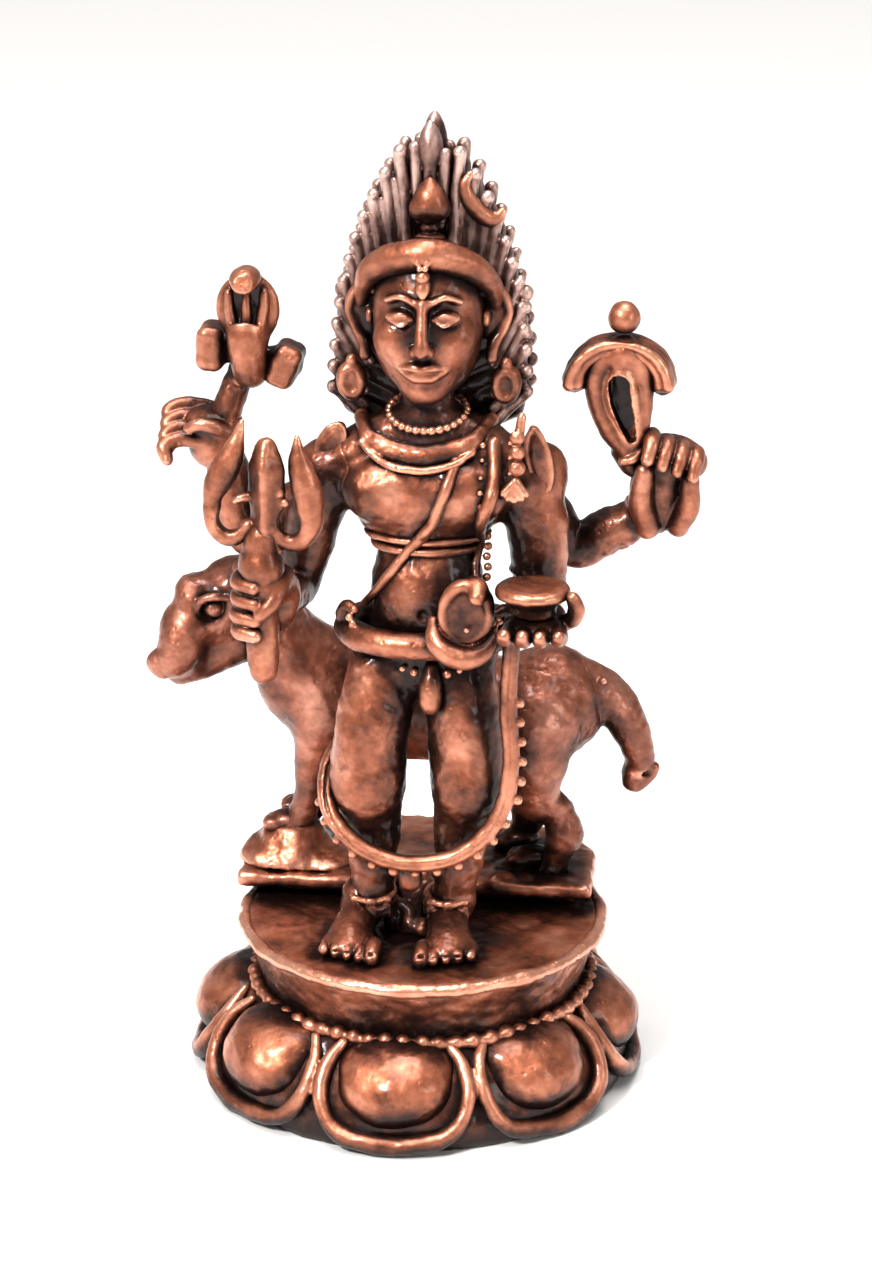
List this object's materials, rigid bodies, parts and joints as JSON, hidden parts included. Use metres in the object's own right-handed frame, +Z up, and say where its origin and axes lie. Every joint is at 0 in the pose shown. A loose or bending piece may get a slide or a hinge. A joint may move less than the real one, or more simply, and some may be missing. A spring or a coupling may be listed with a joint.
{
  "type": "copper figurine",
  "caption": "Small cast copper figure of a four-armed standing guardian with a trident, drum, noose and bowl, a dog behind, on a round lotus pedestal.",
  "frame": {"origin": "centre of the pedestal's flat underside", "axes": "+Z up; the figure faces -Y; +X is the figure's left"},
  "size_m": [0.0509, 0.0418, 0.0889],
  "materials": {
    "pedestal_copper": "antique copper, worn orange on the petals and near black in the creases",
    "dog_copper": "antique copper, dark brown with a low sheen",
    "hair_copper": "antique copper, dark in the grooves, bright along the locks",
    "body_copper": "antique copper, rubbed brighter on the high places",
    "ornament_copper": "antique copper, rubbed bright"
  },
  "bodies": {
    "root": {"anklets": "ornament_copper", "bead_course": "pedestal_copper", "belly_band": "ornament_copper", "belt_pendant": "ornament_copper", "collar_band": "ornament_copper", "crescent_moon": "ornament_copper", "dog_body": "dog_copper", "dog_ears": "dog_copper", "dog_forelegs": "dog_copper", "dog_head": "dog_copper", "dog_hind_legs": "dog_copper", "dog_paws": "dog_copper", "dog_plinth": "pedestal_copper", "dog_tail": "dog_copper", "drum_cobra": "ornament_copper", "drum_handle": "ornament_copper", "ear_discs": "ornament_copper", "ears": "body_copper", "forehead_mark": "ornament_copper", "front_left_arm": "body_copper", "front_left_hand": "body_copper", "front_right_arm": "body_copper", "front_right_hand": "body_copper", "garland_strand": "ornament_copper", "hair_locks": "hair_copper", "hair_plate": "hair_copper", "hand_drum": "ornament_copper", "head": "body_copper", "headband": "ornament_copper", "left_foot": "body_copper", "left_leg": "body_copper", "long_garland": "ornament_copper", "lotus_base": "pedestal_copper", "lotus_petals": "pedestal_copper", "neck": "body_copper", "neck_beads": "ornament_copper", "noose": "ornament_copper", "noose_cap": "ornament_copper", "noose_knob": "ornament_copper", "petal_edges": "pedestal_copper", "plinth_mound": "pedestal_copper", "rear_left_arm": "body_copper", "rear_left_hand": "body_copper", "rear_right_arm": "body_copper", "rear_right_hand": "body_copper", "right_foot": "body_copper", "right_leg": "body_copper", "sacred_thread": "ornament_copper", "seat_drum": "pedestal_copper", "seat_rim": "pedestal_copper", "serpent_hood": "ornament_copper", "shoulder_leaves": "ornament_copper", "shoulder_tassel": "ornament_copper", "skull_bowl": "ornament_copper", "topknot": "ornament_copper", "torso": "body_copper", "trident_head": "ornament_copper", "trident_shaft": "ornament_copper", "waist_serpent": "ornament_copper"}
  },
  "joints": []
}
